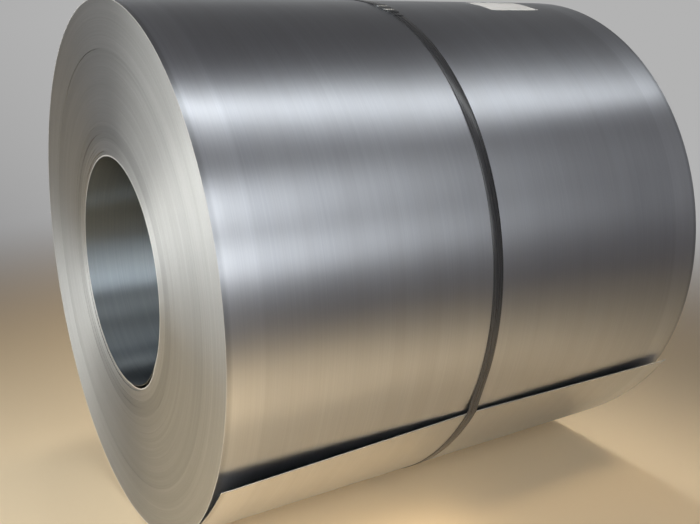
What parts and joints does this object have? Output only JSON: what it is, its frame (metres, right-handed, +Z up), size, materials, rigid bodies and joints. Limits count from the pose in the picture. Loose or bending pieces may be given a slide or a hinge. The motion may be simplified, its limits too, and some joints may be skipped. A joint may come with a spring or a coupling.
{
  "type": "steel coil",
  "caption": "Wide coil of bright steel strip lying on its side, with an open bore, a loose outer end, a crimped steel strap round its middle and a paper label.",
  "frame": {"origin": "centre of the bore, halfway along the coil's width", "axes": "+Y along the bore, away from the end with the gap behind its innermost lap; +Z up as the coil lies; +X towards the side with the loose outer end"},
  "size_m": [1.1708, 1.2, 1.1714],
  "materials": {
    "steel": "satin",
    "strap_paint": "satin",
    "seal_steel": "satin",
    "paper": "matte"
  },
  "bodies": {
    "root": {"coil": "steel", "strap": "strap_paint", "strap_seal": "seal_steel", "label": "paper"}
  },
  "joints": []
}
